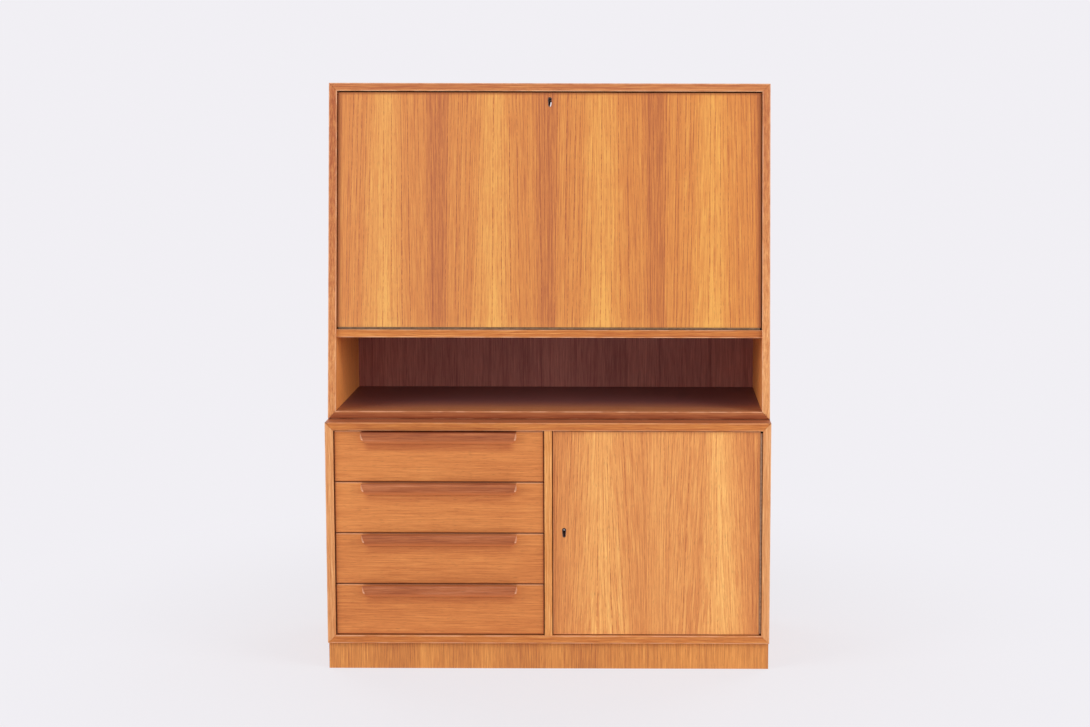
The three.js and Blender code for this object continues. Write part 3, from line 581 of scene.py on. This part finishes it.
END_GRAIN_BIRCH = (0.42, 0.25, 0.12)
BIRCH_GRAIN = {"streaks": 0.3, "lines": 0.8, "flecks": 1.0}
BOX_CLOUDS = (20, 2, 2)
BOX_SIDE = 0.01
PIN_FLARED, TAIL_FROM = (0.0042, 0.0045), (0.0033, 0.0036)
CUT_EDGE = 0.0001

for number in FRONTS:
    name = f"drawer_{number}_box"
    wood = Wood(name + "_birch", name)
    low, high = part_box(name)
    tone = 0.5 + wood.noise("Y", *BOX_CLOUDS)
    colour, roughness, height = wood.grain("Y", tone, BIRCH_SHADES, **BIRCH_GRAIN)
    across, *_ = wood.grain("X", 0.5, BIRCH_SHADES, **BIRCH_GRAIN)
    from_back = high[1] - wood.y
    from_side = inset(wood.x, low[0], high[0])
    on_back = wood.near(from_back, BOX_SIDE + CUT_EDGE, BOX_SIDE + 2 * CUT_EDGE)
    colour = wood.blend(on_back, colour, across)
    off_pin = off_tail_pin(wood, low[2])
    flare = off_pin + (from_back - BOX_SIDE / 2) * TAIL_SLOPE
    pin = wood.near(flare, *PIN_FLARED) * wood.near(from_side, *HAIRLINE)
    pin = pin * wood.near(from_back, BOX_SIDE - CUT_EDGE, BOX_SIDE + CUT_EDGE)
    tail = wood.rise(off_pin, *TAIL_FROM) * wood.near(from_back, *HAIRLINE)
    tail = tail * wood.near(from_side, BOX_SIDE - CUT_EDGE, BOX_SIDE + CUT_EDGE)
    colour = wood.blend(pin.most(tail), colour, END_GRAIN_BIRCH)
    wood.close(colour, roughness, height)
    ease(name)

    name = f"drawer_{number}_bottom"
    wood = Wood(name + "_ply", name)
    wood.close(*wood.grain("X", 0.5, PLY_SHADES, **PLY_GRAIN))


# ---------------------------------------------------------------- cupboard door
# A flush panel in standing teak veneer, hung on its right by a piano hinge. Golden stripes stand on
# either side of a plainer middle, and the grain draws together towards the foot.

DOOR_SHADES = ((0.6, 0.205, 0.066), (0.775, 0.31, 0.095), (0.92, 0.45, 0.14))
# The tone across the door: how far from the left, as a share of its width, and the tone there.
DOOR_FIGURE = (
    (0.0, 0.18), (0.04, 0.22), (0.08, 0.38), (0.14, 0.44), (0.165, 0.56), (0.19, 0.8), (0.24, 0.86),
    (0.29, 0.8), (0.32, 0.56), (0.345, 0.42), (0.415, 0.42), (0.43, 0.26), (0.445, 0.5),
    (0.495, 0.6), (0.545, 0.58), (0.57, 0.44), (0.6, 0.55), (0.69, 0.48), (0.735, 0.46),
    (0.76, 0.74), (0.785, 0.94), (0.83, 0.84), (0.855, 0.72), (0.88, 0.48), (0.905, 0.42),
    (0.92, 0.26), (0.965, 0.22), (1.0, 0.16))
DOOR_DRAW, DOOR_DRAW_WAVE, DOOR_DRAW_CENTRE = 0.022, 0.25, 0.245
DOOR_RING_SPACING = 0.0088
DOOR_RIM = 0.0022
# How dark rings wander (cells a metre across and along, detail, roughness), how wide they are, and
# how they break up.
SLOW_DRIFT, QUICK_DRIFT = (9, 0.5, 2, 0.5), (60, 0.7, 1, 0.5)
RING_EDGE = (0.0002, 0.0011)
RING_BREAKS = (300, 95, 2, 0.6)


def figure_across(wood, share, stops):
    """The tone that (share, tone) stops give across a sheet of veneer."""
    greys = [(position, (tone, tone, tone)) for position, tone in stops]
    return wood.node("ShaderNodeValToRGB", {"stops": greys}, {0: share})


def rings(wood, across, spacing, flow):
    """1 on the thin, broken dark lines that close each year's growth in a standing veneer, some
    years darker than others."""
    drift = wood.noise("Z", *SLOW_DRIFT, flow) + wood.noise("Z", *QUICK_DRIFT, flow) * 0.6
    year = across / spacing + drift * 2.2
    whole = year.maths("ROUND")
    line = wood.near((year - whole).size() * spacing, *RING_EDGE)
    strength = wood.node("ShaderNodeTexWhiteNoise", {"noise_dimensions": "1D"}, {"W": whole})
    broken = wood.rise(wood.noise("Z", *RING_BREAKS, flow), -0.14, 0.1)
    return line * (0.3 + broken * 0.7) * (0.25 + strength * 0.9)


wood = Wood("door_veneer", "door_panel")
low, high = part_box("door_panel")
fall = (high[2] - wood.z) / (high[2] - low[2])
swing = (wood.x - DOOR_DRAW_CENTRE) * (2 * math.pi / DOOR_DRAW_WAVE)
drawn = wood.x + fall * swing.maths("SINE") * DOOR_DRAW
flow = wood.join(drawn, wood.y, wood.z)
tone = figure_across(wood, (drawn - low[0]) / (high[0] - low[0]), DOOR_FIGURE) + 0.06
tone = tone - rings(wood, drawn, DOOR_RING_SPACING, flow) * 0.8
colour, roughness, height = wood.grain("Z", tone, DOOR_SHADES, 0.35, flecks=1.8, place=flow)
# Wear and a painted highlight make the door's arrises pale.
colour = wood.blend(worn_and_lit_rim(wood, low, high, DOOR_RIM) * 0.4, colour, WORN_AND_LIT_TEAK)
wood.close(colour, roughness, height)
ease("door_panel")


# ---------------------------------------------------------------- hinges and locks
# Piano hinges of folded brass strip gone brown, with steel pins, brass stays with steel rods, and
# small steel locks. The flap's hinge, set back under the flap, is painted darker as its shade.
# Plated liners guard the keyholes, painted dark inside as the keyhole's shade, with the lock's key
# post showing in them: the door's as a painted glint, the flap's in painted shade.

BRASS = (0.44, 0.28, 0.18)
# Brass painted darker as shade, for the flap's hinge set back under the flap.
SHADED_BRASS = (0.27, 0.17, 0.1)
STEEL = (0.42, 0.38, 0.36)
OLD_PLATING = (0.15, 0.09, 0.08)
# Painted shade inside the keyholes.
KEYHOLE_SHADE = (0.012, 0.008, 0.006)
# The colour of a painted glint on the keyholes' metal.
PAINTED_GLINT = (0.95, 0.93, 0.95)
TARNISH_SPOTS = (150, 150, 3)
TARNISH_RELIEF = 0.00003
# How far behind the panel's face a keyhole's liner and its lock are painted dark, as the shade
# inside a keyhole.
LINER_DARK, LOCK_DARK = (0.0003, 0.02), (0.005, 0.009)
LEAN_ANGLE = math.radians(6.489876)
LEAN = math.tan(LEAN_ANGLE)


def metal(name, colour, roughness, *pieces, panel=None, dark=(), lean=0.0, tip=None, glint_corner=None):
    """Metal gone dull in spots, and its finish. Between the two depths of dark behind the panel's
    face it is painted dark as the shade inside a keyhole, and in front of them its tip may have a
    colour of its own, such as a painted glint, or painted shade. Right of and below the glint
    corner it has a painted glint."""
    wood = Wood(name, *pieces)
    spots = wood.noise("Z", *TARNISH_SPOTS)
    bright = wood.rise(spots, -0.2, 0.2)
    shade = wood.blend(bright, tuple(part * 0.72 for part in colour), colour)
    if panel:
        face = min(corner.co.y - corner.co.z * lean for corner in nodes[panel].data.vertices)
        depth = wood.y - wood.z * lean - face
        start, end = dark
        # Painted shade: dark between the two depths, as inside a keyhole.
        in_keyhole_shade = wood.rise(depth, start, start + 0.0004) * wood.near(depth, end - 0.0004, end)
        shade = wood.blend(in_keyhole_shade, shade, KEYHOLE_SHADE)
        if tip:
            shade = wood.blend(wood.near(depth, start - 0.0005, start), shade, tip)
        # A painted glint right of and below the glint corner.
        if glint_corner:
            x, z = glint_corner
            glinting = wood.rise(wood.x, x, x + 0.001) * wood.near(wood.z, z - 0.001, z)
            shade = wood.blend(glinting, shade, PAINTED_GLINT)
    normal = wood.node("ShaderNodeBump", None, {
        "Strength": 1.0, "Distance": TARNISH_RELIEF, "Height": spots})
    surface = wood.node("ShaderNodeBsdfPrincipled", None, {
        "Base Color": shade, "Roughness": roughness + (1 - bright) * 0.2, "Normal": normal,
        "Metallic": 1.0})
    wood.node("ShaderNodeOutputMaterial", None, {"Surface": surface})
    return wood.finish


def middle_of(name):
    low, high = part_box(name)
    return (Vector(low) + Vector(high)) / 2


brass = metal("brass", BRASS, 0.35, "door_hinge_frame_leaf", "door_hinge_door_leaf",
              "stay_bracket_left", "stay_bracket_right", "stay_guide_left", "stay_guide_right")
# The flap's hinge, set back under the flap, is painted darker as its shade.
shaded_brass = metal("shaded_brass", SHADED_BRASS, 0.45,
                      "flap_hinge_flap_leaf", "flap_hinge_shelf_leaf")
steel = metal("steel", STEEL, 0.3, "door_lock_bolt", "door_hinge_pin", "flap_hinge_pin",
              "flap_lock_bolt", "stay_rod_left", "stay_rod_right")
flap_liner = middle_of("flap_keyhole_liner")
# The door's key post gets a painted glint, the flap's painted shade, and the flap's liner a painted
# glint.
for owner, lean, tip, glint_corner in (("door", 0.0, PAINTED_GLINT, None),
                                 ("flap", LEAN, KEYHOLE_SHADE, (flap_liner.x, flap_liner.z))):
    metal(owner + "_liner_metal", OLD_PLATING, 0.5, owner + "_keyhole_liner",
          panel=owner + "_panel", dark=LINER_DARK, lean=lean, glint_corner=glint_corner)
    metal(owner + "_lock_metal", STEEL, 0.3, owner + "_lock_case",
          panel=owner + "_panel", dark=LOCK_DARK, lean=lean, tip=tip)


# ---------------------------------------------------------------- screws
# Slotted, countersunk screws with slightly domed heads, brass in the hinges and stays and steel in
# the locks. Each stops wherever it was tight, so the slots point every way.

HEAD_RADIUS, HEAD_RISE, SLOT_WIDTH = 0.0026, 0.0006, 0.0006
TURN_SEED = 7
LEAF_FACE = 0.0014
SCREW_LINE = 0.0085
SCREW_PITCH = 0.0575
PLATE_THICKNESS = 0.002
CORNER_INSET = 0.0055
BRACKET_SCREW_INSET = 0.009

slotted_screws = bpy.data.node_groups.new("slotted_screws", "GeometryNodeTree")
for name, way, kind in (
        ("Places", "INPUT", "Geometry"), ("Head radius", "INPUT", "Float"),
        ("Head rise", "INPUT", "Float"), ("Slot width", "INPUT", "Float"),
        ("Metal", "INPUT", "Material"), ("Screws", "OUTPUT", "Geometry")):
    slotted_screws.interface.new_socket(name, in_out=way, socket_type="NodeSocket" + kind)
recipe = Recipe(slotted_screws)
places, head_radius, head_rise, slot_width, head_metal = (
    recipe.node("NodeGroupInput", output=index) for index in range(5))
dome = recipe.node("GeometryNodeMeshUVSphere", None, {"Segments": 16, "Rings": 8, "Radius": 1.0})
dome_size = recipe.node("ShaderNodeCombineXYZ", None, {
    0: head_radius, 1: head_radius, 2: head_rise})
dome = recipe.node("GeometryNodeTransform", None, {"Geometry": dome, "Scale": dome_size})
groove_size = recipe.node("ShaderNodeCombineXYZ", None, {
    0: head_radius * 3, 1: slot_width, 2: head_rise * 1.4})
groove = recipe.node("GeometryNodeMeshCube", None, {"Size": groove_size})
groove_place = recipe.node("ShaderNodeCombineXYZ", None, {2: head_rise})
groove = recipe.node("GeometryNodeTransform", None, {
    "Geometry": groove, "Translation": groove_place})
head = recipe.node("GeometryNodeMeshBoolean", {"operation": "DIFFERENCE", "solver": "EXACT"}, {
    "Mesh 1": dome, "Mesh 2": groove})
outward = recipe.node("GeometryNodeInputNamedAttribute", {"data_type": "FLOAT_VECTOR"}, {
    "Name": "outward"})
aim = recipe.node("FunctionNodeAlignRotationToVector", {"axis": "Z"}, {"Vector": outward})
chance = recipe.node("FunctionNodeRandomValue", {"data_type": "FLOAT"}, {
    2: 0.0, 3: math.pi, "Seed": TURN_SEED}, 1)
spin = recipe.node("FunctionNodeAxisAngleToRotation", None, {"Axis": (0, 0, 1), "Angle": chance})
aim = recipe.node("FunctionNodeRotateRotation", {"rotation_space": "LOCAL"}, {
    "Rotation": aim, "Rotate By": spin})
driven = recipe.node("GeometryNodeInstanceOnPoints", None, {
    "Points": places, "Instance": head, "Rotation": aim})
driven = recipe.node("GeometryNodeRealizeInstances", None, {"Geometry": driven})
driven = recipe.node("GeometryNodeSetMaterial", None, {"Geometry": driven, "Material": head_metal})
recipe.node("NodeGroupOutput", None, {0: driven})
screw_inputs = {item.name: item.identifier for item in slotted_screws.interface.items_tree
                if item.in_out == "INPUT"}


def screws(name, body, finish, spots):
    """Screws that ride on a body. Spots are pairs: where a head sits, and the way it faces."""
    mesh = bpy.data.meshes.new(name)
    mesh.from_pydata([place for place, _ in spots], [], [])
    ways = mesh.attributes.new("outward", "FLOAT_VECTOR", "POINT")
    for item, (_, way) in zip(ways.data, spots):
        item.vector = way
    piece = bpy.data.objects.new(name, mesh)
    bpy.context.scene.collection.objects.link(piece)
    driving = piece.modifiers.new("driving", "NODES")
    driving.node_group = slotted_screws
    driving[screw_inputs["Head radius"]] = HEAD_RADIUS
    driving[screw_inputs["Head rise"]] = HEAD_RISE
    driving[screw_inputs["Slot width"]] = SLOT_WIDTH
    driving[screw_inputs["Metal"]] = finish
    view = bpy.context.evaluated_depsgraph_get()
    plain = bpy.data.meshes.new_from_object(piece.evaluated_get(view))
    piece.modifiers.remove(driving)
    piece.data = plain
    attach(piece, body)


def evenly(name, axis):
    """Places along a hinge leaf, one in the middle of each stretch of about a screw's pitch."""
    low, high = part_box(name)
    length = high[axis] - low[axis]
    count = round(length / SCREW_PITCH)
    return [low[axis] + length * (number + 0.5) / count for number in range(count)]


pin = middle_of("door_hinge_pin")
heights = evenly("door_hinge_frame_leaf", 2)
for body, way in (("cabinet", 1), ("door", -1)):
    screws(f"door_hinge_screws_{body}", body, brass, [
        ((pin.x + way * LEAF_FACE, pin.y + SCREW_LINE, z), (-way, 0, 0)) for z in heights])

low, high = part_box("door_lock_case")
screws("door_lock_screws", "door", steel, [
    ((x, high[1], z), (0, 1, 0))
    for x in (low[0] + CORNER_INSET, high[0] - CORNER_INSET)
    for z in (low[2] + CORNER_INSET, high[2] - CORNER_INSET)])

pin = middle_of("flap_hinge_pin")
spread = evenly("flap_hinge_flap_leaf", 0)
screws("flap_hinge_screws_shelf", "cabinet", shaded_brass, [
    ((x, pin.y + SCREW_LINE, pin.z - LEAF_FACE), (0, 0, 1)) for x in spread])

flap_place = Matrix.Translation((0, pin.y, pin.z)) @ Matrix.Rotation(-LEAN_ANGLE, 4, "X")
flap_up = Vector((0, math.sin(LEAN_ANGLE), math.cos(LEAN_ANGLE)))
flap_back = Vector((0, math.cos(LEAN_ANGLE), -math.sin(LEAN_ANGLE)))
screws("flap_hinge_screws_flap", "flap", shaded_brass, [
    (flap_place @ Vector((x, SCREW_LINE, LEAF_FACE)), -flap_up) for x in spread])


def box_in_flap(name):
    """A piece's lowest and highest corners as they lie in the flap's own leaning frame."""
    spots = [flap_place.inverted() @ corner.co for corner in nodes[name].data.vertices]
    return [Vector([choose(spot[axis] for spot in spots) for axis in range(3)])
            for choose in (min, max)]


low, high = box_in_flap("flap_lock_case")
corners = [Vector((x, high.y, z))
           for x in (low.x + CORNER_INSET, high.x - CORNER_INSET)
           for z in (low.z + CORNER_INSET, high.z - CORNER_INSET)]
screws("flap_lock_screws", "flap", steel, [
    (flap_place @ spot, flap_back) for spot in corners])
feet = []
for side in ("left", "right"):
    low, high = box_in_flap("stay_bracket_" + side)
    x = high.x - BRACKET_SCREW_INSET if side == "left" else low.x + BRACKET_SCREW_INSET
    feet += [Vector((x, low.y + PLATE_THICKNESS, z))
             for z in (low.z + CORNER_INSET, high.z - CORNER_INSET)]
screws("stay_screws", "flap", brass, [
    (flap_place @ spot, flap_back) for spot in feet])


# ---------------------------------------------------------------- upper carcass
# The desk unit's boards, mitred like the lower ones, with a front that leans back as it rises. The
# back is seen in the niche: slip-matched leaves with a dark line in each, painted darker there as
# the niche's shade.

# Lighter teak for the sides' inner faces, painted light for the niche's walls.
LIT_INNER_SIDE_SHADES = ((0.6, 0.19, 0.066), (0.84, 0.285, 0.078), (0.97, 0.38, 0.1))
# Darker lip shades: painted shade on the lip set back above the lower unit's top.
SHADED_LIP_SHADES = ((0.38, 0.105, 0.034), (0.51, 0.168, 0.058), (0.65, 0.26, 0.1))
# The colour of the painted shade on the niche's floor, darkest at the back.
NICHE_PAINTED_SHADE = (0.14, 0.054, 0.064)
# Darker, bluer teak for the back in the niche: painted shade under the shelf.
SHADED_NICHE_BACK_SHADES = ((0.33, 0.105, 0.088), (0.45, 0.16, 0.135), (0.58, 0.225, 0.18))
NICHE_LEAF, NICHE_JOINT = 0.207, -0.243
NICHE_CLOUDS = (30, 1, 2)
# The tone across one leaf of the back.
NICHE_FIGURE = (
    (0.0, 0.1), (0.02, 0.55), (0.2, 0.65), (0.38, 0.55), (0.4, 0.2), (0.42, 0.5), (0.7, 0.45),
    (0.98, 0.4), (1.0, 0.1))

board("upper_side_left", "Z", 0.5, (0.6, -0.02), LEAN, inner=LIT_INNER_SIDE_SHADES)
board("upper_side_right", "Z", 0.5, (0.9, 0.16), LEAN, inner=LIT_INNER_SIDE_SHADES)
# The niche's floor: painted shade towards the back, and painted shade on the lip's foot.
board("upper_bottom", "X", 0.3, (0.45, 0.5), LEAN, lips=SHADED_LIP_SHADES, painted_shade=NICHE_PAINTED_SHADE,
      lip_foot_shade=1.3)
board("upper_top", "X", 0.4, (0.2, 0.3), LEAN)
board("upper_shelf", "X", 0.5, (0.56, 0.12), LEAN, lips=RED_LIP_SHADES)


def niche_tone(wood):
    """Leaves laid side by side across the niche's back, each with the same figure."""
    share = ((wood.x - NICHE_JOINT) / NICHE_LEAF).maths("FRACT")
    return figure_across(wood, share, NICHE_FIGURE) + wood.noise("Z", *NICHE_CLOUDS) * 0.4


back_panel("upper_back", niche_tone, SHADED_NICHE_BACK_SHADES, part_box("upper_shelf")[0][2])


# ---------------------------------------------------------------- flap
# The fall flap, on a piano hinge at its foot: a panel faced with four leaves of standing teak
# veneer, all laid the same way round, so that each repeats its neighbour's dark edges and golden
# middle.

FLAP_SHADES = ((0.53, 0.175, 0.064), (0.68, 0.252, 0.076), (0.77, 0.335, 0.098))
FLAP_RIGHT_WARMTH = (1.0, 0.97, 0.82)
# The colour of the painted shadow along the flap's ends and top.
FLAP_EDGE_SHADOW = (0.3, 0.09, 0.035)
FLAP_LEAF, FLAP_JOINT = 0.2475, -0.4975
FLAP_SPREAD = 0.055
FLAP_RING_SPACING = 0.0092
LEAF_SHIFT = 0.004
FLAME_SLOPE, FLAME_RISE, FLAME_EDGE = 7, (0.62, 0.82), (40, 3, 2)
FLAP_SHADOW_ENDS, FLAP_SHADOW_TOP, FLAP_WORN_AND_LIT_FOOT = (0.0, 0.011), (0.001, 0.008), (0.001, 0.003)
# The tone across one leaf.
FLAP_FIGURE = (
    (0.0, 0.04), (0.05, 0.0), (0.08, 0.3), (0.13, 0.5), (0.175, 0.5), (0.197, 0.28), (0.22, 0.48),
    (0.27, 0.53), (0.31, 0.38), (0.34, 0.56), (0.37, 0.72), (0.41, 0.86), (0.45, 0.95), (0.51, 1.0),
    (0.57, 0.92), (0.61, 0.68), (0.65, 0.52), (0.68, 0.4), (0.71, 0.52), (0.77, 0.38), (0.82, 0.5),
    (0.865, 0.34), (0.9, 0.1), (0.94, 0.0), (0.97, 0.08), (1.0, 0.1))

wood = Wood("flap_veneer", "flap_panel")
low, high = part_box("flap_panel")
fall = (high[2] - wood.z) / (high[2] - low[2])
leaf = (wood.x - FLAP_JOINT) / FLAP_LEAF
share = leaf.maths("FRACT")
swing = share * (2 * math.pi)
spread = share + fall * swing.maths("SINE") * FLAP_SPREAD
across = spread * FLAP_LEAF
flow = wood.join(across, leaf.maths("FLOOR") * LEAF_SHIFT, wood.z)
flame = fall - (spread - 0.5).size() * FLAME_SLOPE + wood.noise("Z", *FLAME_EDGE) * 0.2
tone = figure_across(wood, spread, FLAP_FIGURE) + wood.rise(flame, *FLAME_RISE) * 0.3
tone = tone + wood.rise(fall, 0.95, 1.0) * 0.2 + 0.12
tone = tone - rings(wood, across, FLAP_RING_SPACING, flow) * 1.2
colour, roughness, height = wood.grain("Z", tone, FLAP_SHADES, 0.36, place=flow)
rightward = wood.rise(wood.x, low[0], high[0])
colour = wood.blend(rightward, colour, FLAP_RIGHT_WARMTH, "MULTIPLY")
# Painted shadow along the flap's ends and top, where the frame stands proud of it.
edge_shadow = wood.near(inset(wood.x, low[0], high[0]), *FLAP_SHADOW_ENDS)
edge_shadow = edge_shadow.most(wood.near(high[2] - wood.z, *FLAP_SHADOW_TOP))
colour = wood.blend(edge_shadow * 0.62, colour, FLAP_EDGE_SHADOW)
# Wear and a painted highlight make the flap's foot arris pale.
colour = wood.blend(wood.near(wood.z - low[2], *FLAP_WORN_AND_LIT_FOOT) * 0.7, colour, WORN_AND_LIT_TEAK)
wood.close(colour, roughness, height)
ease("flap_panel", SOFT_ARRIS)


# ---------------------------------------------------------------- desk inside
# A raised teak floor, level with the open flap, and a low gallery at its back: three uprights and a
# shelf in teak, and two shallow birch drawers whose sides meet their fronts and backs in a butt
# joint.

DESK_CLOUDS = (10, 1, 2)
TRAY_WALL = 0.007

wood = Wood("desk_floor_teak", "desk_floor")
wood.close(*wood.grain("X", 0.5 + wood.noise("X", *DESK_CLOUDS) * 0.6, FACE_SHADES))
wood = Wood("gallery_upright_teak",
            *(f"gallery_upright_{side}" for side in ("left", "centre", "right")))
wood.close(*wood.grain("Y", 0.5, FACE_SHADES))
wood = Wood("gallery_shelf_teak", "gallery_shelf")
wood.close(*wood.grain("X", 0.55, FACE_SHADES))

for side in ("left", "right"):
    name = "gallery_drawer_" + side
    wood = Wood(name + "_birch", name)
    low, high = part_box(name)
    tone = 0.5 + wood.noise("X", *BOX_CLOUDS) * 0.6
    colour, roughness, height = wood.grain("X", tone, BIRCH_SHADES, **BIRCH_GRAIN)
    cheek, *_ = wood.grain("Y", 0.45, BIRCH_SHADES, **BIRCH_GRAIN)
    from_side = inset(wood.x, low[0], high[0])
    in_cheek = wood.near(from_side, TRAY_WALL + CUT_EDGE, TRAY_WALL + 2 * CUT_EDGE)
    from_face = inset(wood.y, low[1], high[1])
    between = wood.rise(from_face, TRAY_WALL - CUT_EDGE, TRAY_WALL)
    colour = wood.blend(in_cheek * between, colour, cheek)
    joint = in_cheek * wood.near((from_face - TRAY_WALL).size(), *HAIRLINE)
    colour = wood.blend(joint * 0.6, colour, END_GRAIN_BIRCH)
    wood.close(colour, roughness, height - joint)
    ease(name)
